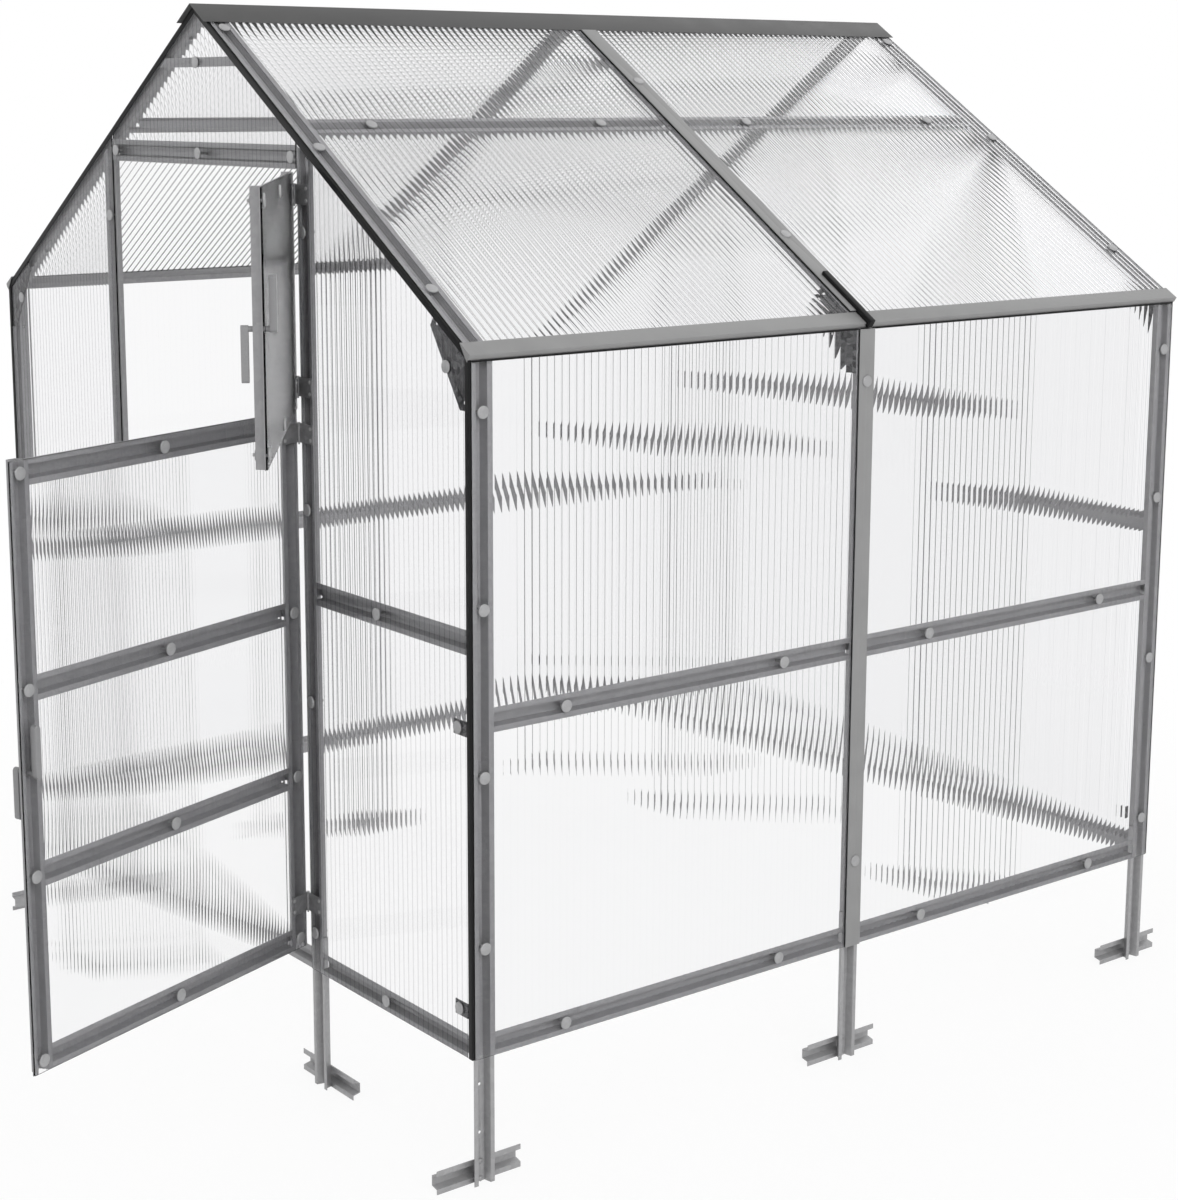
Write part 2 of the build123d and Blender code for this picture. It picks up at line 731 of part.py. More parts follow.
# Black edge strips round the gable sheets and along the tops of the wall sheets
apex = (0.0, ridge_height)
with BuildPart() as edge_strips:
    for gable, wall in gable_walls.items():
        turn = 1 if gable == "front" else -1
        past = bar_width
        below = (half_width, sheet_edge)
        right_eave = (half_width, eave_height)
        left_eave = (-half_width, eave_height)
        over = (half_width, eave_height + past)
        add(edge_strip(wall, below, over, edge_strip_width, [(eave_mitre(turn, -strip_joint), Keep.BOTTOM)]))
        start = eave_point(1, -past, 0)
        end = (-past * slope_cos, ridge_height + past * slope_sin)
        cuts = [(eave_mitre(turn, strip_joint), Keep.TOP), (ridge_mitre(turn, strip_joint), Keep.TOP)]
        add(edge_strip(wall, start, end, edge_strip_width, cuts))
        start = (past * slope_cos, ridge_height + past * slope_sin)
        end = eave_point(-1, -past, 0)
        cuts = [(eave_mitre(-turn, strip_joint), Keep.TOP), (ridge_mitre(-turn, strip_joint), Keep.TOP)]
        add(edge_strip(wall, start, end, edge_strip_width, cuts))
        start = (-half_width, eave_height + past)
        end = (-half_width, sheet_edge)
        add(edge_strip(wall, start, end, edge_strip_width, [(eave_mitre(-turn, -strip_joint), Keep.BOTTOM)]))
    for wall in side_walls.values():
        end = half_depth - strip_joint
        for left, right in ((-end, -half_cover - strip_joint), (half_cover + strip_joint, end)):
            add(edge_strip(wall, (right, wall_top), (left, wall_top), top_strip_width))
keep(edge_strips.part, "edge_strips")

# Cover strips over the middle joints of walls and roof, on two rubber seals each
cover_runs = []
for side in side_signs:
    cover_runs.append((side_walls[side], sheet_edge, wall_top, post_screws["mid"]))
    cover_runs.append((side_roofs[side], cover_foot, cover_top, rafter_screws["mid"]))
with BuildPart() as cover_strips:
    for wall, foot, top, heights in cover_runs:
        holes = screw_holes([(0, v) for v in heights])
        add(flat_strip(wall, -half_cover, half_cover, foot, top, sheet_thick + seal_thick, cover_wall, holes))
keep(cover_strips.part, "cover_strips")

with BuildPart() as strip_seals:
    for wall, foot, top, heights in cover_runs:
        add(flat_strip(wall, -half_cover, seal_width - half_cover, foot, top, sheet_thick, seal_thick))
        add(flat_strip(wall, half_cover - seal_width, half_cover, foot, top, sheet_thick, seal_thick))
keep(strip_seals.part, "strip_seals")

# Eave flashings, one for each bay, each with a tab that closes its outer end
flashing_out = sheet_thick + flashing_wall
flashing_end = half_depth + flashing_overhang
with BuildPart() as eave_flashings:
    for sign in side_signs.values():
        flashing = [
            eave_point(sign, flashing_top, sheet_thick),
            eave_point(sign, flashing_top, flashing_out),
            eave_point(sign, -flashing_drop, flashing_out),
            eave_point(sign, -flashing_drop, flashing_out - flashing_lip),
            eave_point(sign, flashing_wall - flashing_drop, flashing_out - flashing_lip),
            eave_point(sign, flashing_wall - flashing_drop, sheet_thick),
        ]
        tab = [
            eave_point(sign, flashing_top, sheet_thick),
            eave_point(sign, flashing_wall - flashing_drop, sheet_thick),
            eave_point(sign, flashing_wall - flashing_drop, sheet_thick - flashing_tab),
        ]
        add(folded(flashing, -flashing_end, -sheet_edge))
        add(folded(tab, -flashing_end, flashing_wall - flashing_end))
        add(folded(flashing, sheet_edge, flashing_end))
        add(folded(tab, flashing_end - flashing_wall, flashing_end))
keep(eave_flashings.part, "eave_flashings")

# Black caps over the lower ends of the roof cover strips, hooked over the joints of the flashings
strip_cap_top = cover_seat + strip_cap_thick
nose_in = -flashing_drop - strip_joint
nose_out = nose_in - strip_cap_thick
cap_step = (flashing_top + cover_foot) / 2
with BuildPart() as strip_caps:
    for sign in side_signs.values():
        cap_profile = [
            eave_point(sign, cover_foot + strip_cap_length, cover_seat),
            eave_point(sign, cover_foot + strip_cap_length, strip_cap_top),
            eave_point(sign, nose_out, strip_cap_top),
            eave_point(sign, nose_out, flashing_out - strip_cap_hook),
            eave_point(sign, nose_in, flashing_out - strip_cap_hook),
            eave_point(sign, nose_in, flashing_out),
            eave_point(sign, cap_step, flashing_out),
            eave_point(sign, cap_step, cover_seat),
        ]
        add(folded(cap_profile, -strip_cap_width / 2, strip_cap_width / 2))
keep(strip_caps.part, "strip_caps")

# Ridge cap over the upper edges of the roof sheets
cap_outer = ridge_height + flashing_out / slope_cos
cap_inner = ridge_height + sheet_thick / slope_cos
cap_edge = cap_outer - cap_half_width * gable_slope
cap_back = (cap_half_width - flashing_wall * slope_sin, cap_edge - flashing_wall * slope_cos)
cap_outline = [
    (0, cap_outer),
    (cap_half_width, cap_edge),
    cap_back,
    (0, cap_inner),
    (-cap_back[0], cap_back[1]),
    (-cap_half_width, cap_edge),
]
with BuildPart() as ridge_cap:
    add(folded(cap_outline, -half_depth - cap_overhang, half_depth + cap_overhang))
keep(ridge_cap.part, "ridge_cap")

# Frame screws: large round heads, with shanks as long as what they hold
deep_screws = []
strip_screws = []
thin_screws = []
for side, sign in side_signs.items():
    for frame, line in frame_lines.items():
        group = strip_screws if frame == "mid" else deep_screws
        group.extend((side_walls[side], sign * line, v) for v in post_screws[frame])
        group.extend((side_roofs[side], sign * line, v) for v in rafter_screws[frame])
    deep_screws.extend((side_walls[side], u, v) for u in side_rail_screws for v in (base_line, side_rail_height))
    deep_screws.extend((side_roofs[side], u, purlin_place) for u in purlin_screws)
for gable, wall in gable_walls.items():
    for sign in (-1, 1):
        deep_screws.extend((wall, sign * door_post_line, v) for v in gable_post_screws)
        deep_screws.append((wall, sign * gable_rail_screw, gable_rail_height))
        deep_screws.append((wall, sign * gable_base_screw, base_line))
        thin_screws.extend((wall, sign * clip_screw_line, v) for v in clip_screw_heights)
        thin_screws.append((wall, sign * gusset_screw[0], gusset_screw[1]))
    deep_screws.extend((wall, u, v) for u, v in lintel_screws)
    thin_screws.append((wall, 0.0, collar_height))
    if gable == "rear":
        deep_screws.extend((wall, 0.0, v) for v in (base_line, rear_tie_height))
with BuildPart() as frame_screws:
    for group, seat, tip in (
        (deep_screws, sheet_thick, bar_screw_tip),
        (strip_screws, cover_seat, bar_screw_tip),
        (thin_screws, sheet_thick, clip_wall + screw_stub),
    ):
        with BuildSketch(*[face_plane(wall, u, v, -tip) for wall, u, v in group]):
            Circle(shank_radius)
        extrude(amount=seat + tip)
        with BuildSketch(*[face_plane(wall, u, v, seat) for wall, u, v in group]):
            Circle(disc_radius)
        extrude(amount=disc_thick)
    bolt_points = [(wall, line, v) for wall, line in leg_places for v in anchor_bolts]
    bolt_seat = -bar_wall - leg_groove
    with BuildSketch(*[face_plane(wall, u, v, bolt_seat) for wall, u, v in bolt_points]):
        Circle(bolt_head)
    extrude(amount=bolt_head_thick)
    with BuildSketch(*[face_plane(wall, u, v, bolt_seat) for wall, u, v in bolt_points]):
        Circle(shank_radius)
    extrude(amount=-2 * bar_wall - screw_stub)
    rivet_seat = sheet_thick + hinge_plate
    with BuildSketch(*[face_plane(front_wall, u, v, rivet_seat) for u, v, radius in hinge_rivets]):
        Circle(rivet_head)
    extrude(amount=bar_wall)
    with BuildSketch(*[face_plane(front_wall, u, v, rivet_seat) for u, v, radius in hinge_rivets]):
        Circle(rivet_radius)
    extrude(amount=-rivet_seat - 2 * bar_wall)
keep(frame_screws.part, "frame_screws")

# Hinges: brackets on the right door post, and pins with a head
third = hinge_height / 6
bracket_knuckles = ((-hinge_height / 2, -third - knuckle_gap), (third + knuckle_gap, hinge_height / 2))
leaf_knuckles = ((-third, third),)
hinge_base = face_plane(front_wall, hinge_x, 0)
with BuildPart() as hinge_brackets:
    for height in lower_hinges + upper_hinges:
        add(hinge_half(hinge_base, height, 1, bracket_knuckles))
keep(hinge_brackets.part, "hinge_brackets")

with BuildPart() as hinge_pins:
    for height in lower_hinges + upper_hinges:
        pin_foot = at(hinge_base, 0, height - hinge_height / 2 - screw_stub, hinge_proud)
        with BuildSketch(Plane(origin=pin_foot, z_dir=(0, 0, 1))):
            Circle(pin_radius)
        extrude(amount=hinge_height + screw_stub)
        with BuildSketch(Plane(origin=at(hinge_base, 0, height + hinge_height / 2, hinge_proud), z_dir=(0, 0, 1))):
            Circle(pin_radius + hinge_plate)
        extrude(amount=hinge_plate)
keep(hinge_pins.part, "hinge_pins")

# Door leaves: stiles, rails, sheet, hinge halves, screws and latch of each
lower_rails_at = (lower_foot + half_bar,) + lower_rail_heights + (lower_top - half_bar,)
upper_rails_at = (upper_foot + half_bar, upper_top - half_bar)
middle_line = (leaf_free_edge + leaf_hinge_edge) / 2
rail_left = free_stile_line + half_bar
rail_right = hinge_stile_line - half_bar
leaf_reach = half_bar + tongue_width / 2
for name, leaf, foot, top, rails_at, hinges, plain_rails in (
    ("lower", lower_leaf, lower_foot, lower_top, lower_rails_at, lower_hinges, lower_rails_at[:-1]),
    ("upper", upper_leaf, upper_foot, upper_top, upper_rails_at, upper_hinges, ()),
):
    latch_height = (foot + top) / 2
    rivets = [(-rivet_line, height + side * rivet_spread, rivet_hole) for height in hinges for side in (-1, 1)]
    free_holes = screw_holes([(free_stile_line, v) for v in rails_at])
    free_holes.append((free_stile_line, latch_height, spindle_radius + spindle_clearance))
    hinge_holes = screw_holes([(hinge_stile_line, v) for v in plain_rails]) + rivets

    with BuildPart() as stiles:
        add(hat_bar(leaf, (free_stile_line, foot), (free_stile_line, top), free_holes))
        add(hat_bar(leaf, (hinge_stile_line, foot), (hinge_stile_line, top), hinge_holes))
    keep(stiles.part, f"{name}_stiles")

    with BuildPart() as leaf_rails:
        for height in rails_at:
            holes = screw_holes([(u, height) for u in (free_stile_line, middle_line, hinge_stile_line)])
            add(tongued_rail(leaf, rail_left, rail_right, height, holes, leaf_reach, leaf_reach))
    keep(leaf_rails.part, f"{name}_rails")

    sheet_holes = screw_holes([(u, v) for u in (free_stile_line, middle_line) for v in rails_at])
    sheet_holes.append((free_stile_line, latch_height, spindle_radius + 1))
    sheet_holes = sheet_holes + hinge_holes
    with BuildPart() as leaf_sheet:
        left = leaf_free_edge + 1
        right = leaf_hinge_edge - 2
        outline = [(left, foot + 1), (right, foot + 1), (right, top - 1), (left, top - 1)]
        add(sheet(leaf, outline, sheet_holes))
    keep(leaf_sheet.part, f"{name}_sheet")

    with BuildPart() as hinge_leaves:
        for height in hinges:
            add(hinge_half(leaf, height, -1, leaf_knuckles))
    keep(hinge_leaves.part, f"{name}_hinge_leaves")

    points = [(u, v) for u in (free_stile_line, middle_line) for v in rails_at]
    points = points + [(hinge_stile_line, v) for v in plain_rails]
    with BuildPart() as leaf_screws:
        with BuildSketch(*[face_plane(leaf, u, v, -bar_screw_tip) for u, v in points]):
            Circle(shank_radius)
        extrude(amount=sheet_thick + bar_screw_tip)
        with BuildSketch(*[face_plane(leaf, u, v, sheet_thick) for u, v in points]):
            Circle(disc_radius)
        extrude(amount=disc_thick)
        with BuildSketch(*[face_plane(leaf, u, v, rivet_seat) for u, v, radius in rivets]):
            Circle(rivet_head)
        extrude(amount=bar_wall)
        with BuildSketch(*[face_plane(leaf, u, v, rivet_seat) for u, v, radius in rivets]):
            Circle(rivet_radius)
        extrude(amount=-rivet_seat - 2 * bar_wall)
    keep(leaf_screws.part, f"{name}_screws")

    with BuildPart() as leaf_latch:
        add(latch(leaf, latch_height))
    keep(leaf_latch.part, f"{name}_latch")
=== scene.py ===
import math

import bmesh
import bpy
from mathutils import Euler, Matrix, Vector


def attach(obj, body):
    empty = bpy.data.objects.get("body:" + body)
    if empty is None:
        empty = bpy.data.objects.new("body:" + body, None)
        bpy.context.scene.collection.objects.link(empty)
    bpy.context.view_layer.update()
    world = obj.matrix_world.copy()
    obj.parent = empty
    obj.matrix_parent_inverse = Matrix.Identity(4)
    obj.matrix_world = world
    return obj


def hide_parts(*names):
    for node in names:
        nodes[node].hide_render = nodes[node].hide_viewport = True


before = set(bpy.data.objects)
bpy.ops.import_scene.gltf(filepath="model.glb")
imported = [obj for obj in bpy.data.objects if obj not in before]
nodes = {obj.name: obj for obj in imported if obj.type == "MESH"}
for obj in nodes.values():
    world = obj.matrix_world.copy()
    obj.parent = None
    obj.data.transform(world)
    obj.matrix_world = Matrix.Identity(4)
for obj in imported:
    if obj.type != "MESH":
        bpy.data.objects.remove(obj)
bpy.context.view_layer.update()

# The frame: hat bars folded from galvanised sheet steel, bolted together into posts, rafters, rails and
# purlins. The rollers left rounded folds, and faint lines along every bar over a soft zinc spangle.
mm = 0.001
steel_dark = (0.288, 0.287, 0.294, 1.0)
steel_pale = (0.338, 0.337, 0.344, 1.0)
bar_round = 0.45 * mm
line_stretch = 0.02
line_scale = 520.0
spangle_scale = 110.0
weld_gap = 0.005 * mm
sharp_fold = math.radians(50.0)
flat_join = math.radians(1.0)
bar_shading = math.radians(32.0)


def edit(piece):
    """Opens a piece for editing with nothing selected."""
    bpy.ops.object.select_all(action="DESELECT")
    bpy.context.view_layer.objects.active = piece
    piece.select_set(True)
    bpy.ops.object.mode_set(mode="EDIT")
    bpy.ops.mesh.select_all(action="DESELECT")


def close_edit():
    """Leaves edit mode."""
    bpy.ops.object.mode_set(mode="OBJECT")


def rounded_copy(node, radius, segments=2):
    """A copy of a piece of the frame with its folds and edges rounded over."""
    piece = bpy.data.objects.new(f"{node}_rounded", nodes[node].data.copy())
    bpy.context.scene.collection.objects.link(piece)
    edit(piece)
    bpy.ops.mesh.select_all(action="SELECT")
    bpy.ops.mesh.remove_doubles(threshold=weld_gap)
    bpy.ops.mesh.dissolve_limited(angle_limit=flat_join)
    bpy.ops.mesh.select_mode(type="EDGE")
    bpy.ops.mesh.select_all(action="DESELECT")
    bpy.ops.mesh.edges_select_sharp(sharpness=sharp_fold)
    bpy.ops.mesh.bevel(offset=radius, segments=segments, clamp_overlap=True)
    close_edit()
    bpy.ops.object.shade_smooth_by_angle(angle=bar_shading)
    return piece


def finish_piece(piece, material, body, slot, *replaced):
    """Gives a piece its finish, its body and the pieces of the frame that it stands for."""
    piece.data.materials.clear()
    piece.data.materials.append(material)
    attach(piece, body)
    if replaced:
        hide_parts(*replaced)


def link(tree, source, output, target, socket):
    """Joins an output of one node to an input of another."""
    tree.links.new(source.outputs[output], target.inputs[socket])


def new_finish(name):
    """A new material, with its node tree and its surface shader."""
    material = bpy.data.materials.new(name)
    material.use_nodes = True
    return material, material.node_tree, material.node_tree.nodes["Principled BSDF"]


def pattern(tree, kind, scale, stretch=(1.0, 1.0, 1.0), turn=(0.0, 0.0, 0.0)):
    """A noise or cell pattern that stays with the piece, stretched and turned by a mapping."""
    place = tree.nodes.new("ShaderNodeTexCoord")
    mapping = tree.nodes.new("ShaderNodeMapping")
    mapping.inputs["Scale"].default_value = stretch
    mapping.inputs["Rotation"].default_value = turn
    texture = tree.nodes.new(kind)
    texture.inputs["Scale"].default_value = scale
    link(tree, place, "Object", mapping, "Vector")
    link(tree, mapping, "Vector", texture, "Vector")
    return texture


def ramp(tree, texture, output, low, high, start=0.3, end=0.7):
    """A colour ramp over a pattern."""
    blend = tree.nodes.new("ShaderNodeValToRGB")
    blend.color_ramp.elements[0].position = start
    blend.color_ramp.elements[0].color = low
    blend.color_ramp.elements[1].position = end
    blend.color_ramp.elements[1].color = high
    link(tree, texture, output, blend, "Fac")
    return blend


def spread(tree, texture, output, low, high, start=0.3, end=0.7):
    """A pattern's value brought into a range."""
    span = tree.nodes.new("ShaderNodeMapRange")
    span.inputs["From Min"].default_value = start
    span.inputs["From Max"].default_value = end
    span.inputs["To Min"].default_value = low
    span.inputs["To Max"].default_value = high
    link(tree, texture, output, span, "Value")
    return span


def relief(tree, shader, texture, output, strength, depth):
    """A shallow relief from a pattern."""
    bump = tree.nodes.new("ShaderNodeBump")
    bump.inputs["Strength"].default_value = strength
    bump.inputs["Distance"].default_value = depth
    link(tree, texture, output, bump, "Height")
    link(tree, bump, "Normal", shader, "Normal")


def zinc_steel(name, stretch, turn=(0.0, 0.0, 0.0), dark=steel_dark, pale=steel_pale):
    """Galvanised steel with its rolling lines along the bar."""
    material, tree, shader = new_finish(name)
    lines = pattern(tree, "ShaderNodeTexNoise", line_scale, stretch, turn)
    lines.inputs["Detail"].default_value = 3.0
    spangle = pattern(tree, "ShaderNodeTexVoronoi", spangle_scale)
    zinc = ramp(tree, spangle, "Color", dark, pale, 0.0, 1.0)
    drawn = ramp(tree, lines, "Fac", (0.965, 0.965, 0.965, 1.0), (1.0, 1.0, 1.0, 1.0))
    colour = tree.nodes.new("ShaderNodeMix")
    colour.data_type = "RGBA"
    colour.blend_type = "MULTIPLY"
    colour.inputs["Factor"].default_value = 1.0
    tree.links.new(zinc.outputs["Color"], colour.inputs["A"])
    tree.links.new(drawn.outputs["Color"], colour.inputs["B"])
    tree.links.new(colour.outputs["Result"], shader.inputs["Base Color"])
    shader.inputs["Metallic"].default_value = 0.35
    shader.inputs["Specular IOR Level"].default_value = 0.3
    link(tree, spread(tree, lines, "Fac", 0.36, 0.46), "Result", shader, "Roughness")
    relief(tree, shader, lines, "Fac", 0.04, 0.1 * mm)
    return material


def rolled_bars(material, names):
    """Rounds the folds of bars of the frame and gives them their steel."""
    for name in names:
        finish_piece(rounded_copy(name, bar_round), material, "house", "zinc_steel", name)


roof_pitch = math.radians(33.0)
frames = ("front", "mid", "rear")
sides = ("left", "right")
upright = zinc_steel("zinc_steel_upright", (1.0, 1.0, line_stretch))
lengthwise = zinc_steel("zinc_steel_lengthwise", (1.0, line_stretch, 1.0))
crosswise = zinc_steel("zinc_steel_crosswise", (line_stretch, 1.0, 1.0))
right_slope = zinc_steel("zinc_steel_right_slope", (line_stretch, 1.0, 1.0), (0.0, -roof_pitch, 0.0))
left_slope = zinc_steel("zinc_steel_left_slope", (line_stretch, 1.0, 1.0), (0.0, roof_pitch, 0.0))
rolled_bars(upright, [f"{line}_{side}_post" for line in frames for side in sides])
rolled_bars(upright, ["left_door_post", "right_door_post", "rear_left_stud", "rear_right_stud"])
rolled_bars(right_slope, [f"{line}_right_rafter" for line in frames])
rolled_bars(left_slope, [f"{line}_left_rafter" for line in frames])
rolled_bars(lengthwise, ["left_base_rails", "right_base_rails", "left_mid_rails", "right_mid_rails"])
rolled_bars(lengthwise, ["purlins", "ridge_angles", "eave_angles"])
rolled_bars(crosswise, ["front_base_rails", "rear_base_rails", "front_gable_rails", "rear_gable_rails"])
rolled_bars(crosswise, ["lintels", "collar_ties"])

# The legs and anchors: the same bars with their zinc made paler as painted light for the brighter light
# outside the sheets, nested behind the posts and bolted to short cross anchors at the ground.
# Painted light: the paler zinc of the legs and anchors stands for the light they get outside the sheets.
foot_lit_dark = (0.35, 0.349, 0.355, 1.0)
foot_lit_pale = (0.41, 0.409, 0.415, 1.0)
lit_leg_steel = zinc_steel("zinc_steel_legs", (1.0, 1.0, line_stretch), dark=foot_lit_dark, pale=foot_lit_pale)
lit_anchor_steel = zinc_steel("zinc_steel_anchors", (line_stretch, 1.0, 1.0), dark=foot_lit_dark, pale=foot_lit_pale)
rolled_bars(lit_leg_steel, ["legs"])
rolled_bars(lit_anchor_steel, ["anchors"])

# The gusset plates and corner clips: stamped from steel sheet, their dark, clouded colour painted shade and
# a painted reflection of dark surroundings. The plates stiffen the eave corners inside the gables, the clips
# take the gable screws beside the corner posts.
# Painted shade: the plates' dark, clouded tones stand for shade and dark reflections, not for the steel's
# own colour.
plate_shade_dark = (0.03, 0.03, 0.032, 1.0)
plate_shade_pale = (0.2, 0.2, 0.205, 1.0)
shaded_plate_steel = zinc_steel("shaded_plate_steel", (1.0, 1.0, 1.0), dark=plate_shade_dark, pale=plate_shade_pale)
rolled_bars(shaded_plate_steel, ["gusset_plates", "corner_clips"])

# The walls and the roof: clear plastic sheets, extruded with rounded flutes that run up the walls and
# up the slopes. They lie on the outside of the bars with their smooth side, one sheet for each bay.
house_half_width = 1000.0 * mm
house_half_depth = 1005.0 * mm
base_level = 262.0 * mm
eave_height = 1365.0 * mm
slope_sin = math.sin(roof_pitch)
slope_cos = math.cos(roof_pitch)
slope_length = house_half_width / slope_cos
ridge_height = eave_height + slope_length * slope_sin
sheet_thick = 4.0 * mm
sheet_back = 0.2 * mm
sheet_joint = 4.0 * mm
sheet_edge = 2.0 * mm
wall_sheet_top = 1352.5 * mm
roof_sheet_foot = -5.5 * mm
flute_pitch = 17.0 * mm
flute_rise = 0.8 * mm
flute_cuts = 7
flute_shading = math.radians(9.0)
plastic_ior = 1.5
haze_scale = 6.0
sheet_gloss = 0.2
gloss_slopes = (0.18, 0.45)
lamp_tint = (0.8, 0.8, 0.81, 1.0)
clear_tone = (0.945, 0.945, 0.95, 1.0)
# The rib tones are partly painted shade along the flute valleys: faint on the walls, dark on the roof.
clear_rib_shade = (0.93, 0.93, 0.935, 1.0)
roof_tone = (0.93, 0.93, 0.935, 1.0)
roof_rib_shade = (0.45, 0.45, 0.46, 1.0)


def wall_frame(origin, along, up):
    """The frame of a wall: along it, up it and out of it."""
    along = Vector(along)
    up = Vector(up)
    axes = Matrix((along, up, along.cross(up))).transposed().to_4x4()
    return Matrix.Translation(origin) @ axes


right_wall = wall_frame((house_half_width, 0, base_level), (0, 1, 0), (0, 0, 1))
left_wall = wall_frame((-house_half_width, 0, base_level), (0, -1, 0), (0, 0, 1))
front_wall = wall_frame((0, -house_half_depth, base_level), (1, 0, 0), (0, 0, 1))
rear_wall = wall_frame((0, house_half_depth, base_level), (-1, 0, 0), (0, 0, 1))
eave_level = base_level + eave_height
right_roof = wall_frame((house_half_width, 0, eave_level), (0, 1, 0), (-slope_cos, 0, slope_sin))
left_roof = wall_frame((-house_half_width, 0, eave_level), (0, -1, 0), (slope_cos, 0, slope_sin))


def new_primitive(add, **sizes):
    """Adds a primitive on its own, with nothing else selected."""
    bpy.ops.object.select_all(action="DESELECT")
    add(**sizes)
    return bpy.context.object


def fix_place(piece, place=None):
    """Puts a piece in its place and applies that, so that its object sits at the origin."""
    bpy.ops.object.select_all(action="DESELECT")
    bpy.context.view_layer.objects.active = piece
    piece.select_set(True)
    if place is not None:
        piece.matrix_world = place @ piece.matrix_world
    bpy.ops.object.transform_apply(location=True, rotation=True, scale=True)


def pick(piece, mode, test):
    """Selects the vertices, edges or faces of the open piece that pass a test."""
    bpy.ops.mesh.select_mode(type=mode)
    bpy.ops.mesh.select_all(action="DESELECT")
    mesh = bmesh.from_edit_mesh(piece.data)
    for element in {"VERT": mesh.verts, "EDGE": mesh.edges, "FACE": mesh.faces}[mode]:
        element.select = test(element)
    mesh.select_flush_mode()
    bmesh.update_edit_mesh(piece.data)


def fluted_sheet(name, wall, left, right, foot, top, pitch=flute_pitch, rise=flute_rise, cuts=()):
    """A sheet with a smooth back and rounded flutes, trimmed by planes given in the wall's frame."""
    count = round((right - left) / pitch)
    pitch = (right - left) / count
    floor = sheet_thick - rise
    middle = left + pitch / 2
    sheet = new_primitive(bpy.ops.mesh.primitive_cube_add, size=1)
    sheet.name = name
    sheet.scale = (pitch, top - foot, floor - sheet_back)
    sheet.location = (middle, (foot + top) / 2, (floor + sheet_back) / 2)
    fix_place(sheet)
    edit(sheet)
    pick(sheet, "FACE", lambda face: abs(face.normal.x) > 0.9)
    bpy.ops.mesh.delete(type="FACE")
    pick(
        sheet,
        "EDGE",
        lambda edge: min(v.co.z for v in edge.verts) > floor / 2
        and abs(edge.verts[0].co.x - edge.verts[1].co.x) > pitch / 2,
    )
    bpy.ops.mesh.subdivide(number_cuts=flute_cuts)
    steps = flute_cuts // 2 + 1
    for step in range(steps):
        away = step / steps
        pick(
            sheet,
            "VERT",
            lambda v: v.co.z > floor / 2 and abs(abs(v.co.x - middle) - away * pitch / 2) < pitch / 100,
        )
        bpy.ops.transform.translate(value=(0, 0, rise * (1 - away**2)))
    mesh = bmesh.from_edit_mesh(sheet.data)
    rib = mesh.verts.layers.float.new("rib")
    for v in mesh.verts:
        v[rib] = 1.0 if v.co.z > floor / 2 and abs(v.co.x - middle) > pitch * 0.49 else 0.0
    bmesh.update_edit_mesh(sheet.data)
    close_edit()
    row = sheet.modifiers.new("flutes", "ARRAY")
    row.count = count
    row.use_relative_offset = False
    row.use_constant_offset = True
    row.constant_offset_displace = (pitch, 0, 0)
    row.use_merge_vertices = True
    row.merge_threshold = 0.01 * mm
    bpy.ops.object.modifier_apply(modifier="flutes")
    edit(sheet)
    bpy.ops.mesh.select_all(action="SELECT")
    bpy.ops.mesh.fill_holes(sides=8)
    for point, direction in cuts:
        bpy.ops.mesh.select_all(action="SELECT")
        bpy.ops.mesh.bisect(plane_co=point, plane_no=direction, use_fill=True, clear_outer=True)
    bpy.ops.mesh.select_all(action="SELECT")
    bpy.ops.mesh.normals_make_consistent(inside=False)
    close_edit()
    bpy.ops.object.shade_smooth_by_angle(angle=flute_shading)
    fix_place(sheet, wall)
    return sheet


def clear_plastic(name, clear, ribbed_shade, gloss_most=1.0):
    """Clear plastic with little gloss, greyer along the ribs between the flutes: partly the ribs' own tone,
    partly painted shade for the dark lines refraction draws there. Lamps shine through it.
    """
    material, tree, shader = new_finish(name)
    rib = tree.nodes.new("ShaderNodeAttribute")
    rib.attribute_name = "rib"
    tint = ramp(tree, rib, "Fac", clear, ribbed_shade, 0.0, 1.0)
    link(tree, tint, "Color", shader, "Base Color")
    shader.inputs["Transmission Weight"].default_value = 1.0
    shader.inputs["IOR"].default_value = plastic_ior
    haze = pattern(tree, "ShaderNodeTexNoise", haze_scale)
    haze.inputs["Detail"].default_value = 3.0
    cloud = spread(tree, haze, "Fac", 0.01, 0.035)
    link(tree, cloud, "Result", shader, "Roughness")
    lens = tree.nodes.new("ShaderNodeBsdfRefraction")
    lens.inputs["IOR"].default_value = plastic_ior
    link(tree, cloud, "Result", lens, "Roughness")
    half = tree.nodes.new("ShaderNodeGamma")
    half.inputs["Gamma"].default_value = 0.5
    link(tree, tint, "Color", half, "Color")
    link(tree, half, "Color", lens, "Color")
    gloss = tree.nodes.new("ShaderNodeMixShader")
    slope = tree.nodes.new("ShaderNodeFresnel")
    slope.inputs["IOR"].default_value = plastic_ior
    share = spread(tree, slope, "Fac", sheet_gloss, gloss_most, *gloss_slopes)
    link(tree, share, "Result", gloss, "Fac")
    tree.links.new(lens.outputs["BSDF"], gloss.inputs[1])
    tree.links.new(shader.outputs["BSDF"], gloss.inputs[2])
    passing = tree.nodes.new("ShaderNodeBsdfTransparent")
    passing.inputs["Color"].default_value = lamp_tint
    path = tree.nodes.new("ShaderNodeLightPath")
    choice = tree.nodes.new("ShaderNodeMixShader")
    link(tree, path, "Is Shadow Ray", choice, "Fac")
    tree.links.new(gloss.outputs["Shader"], choice.inputs[1])
    tree.links.new(passing.outputs["BSDF"], choice.inputs[2])
    link(tree, choice, "Shader", tree.nodes["Material Output"], "Surface")
    return material


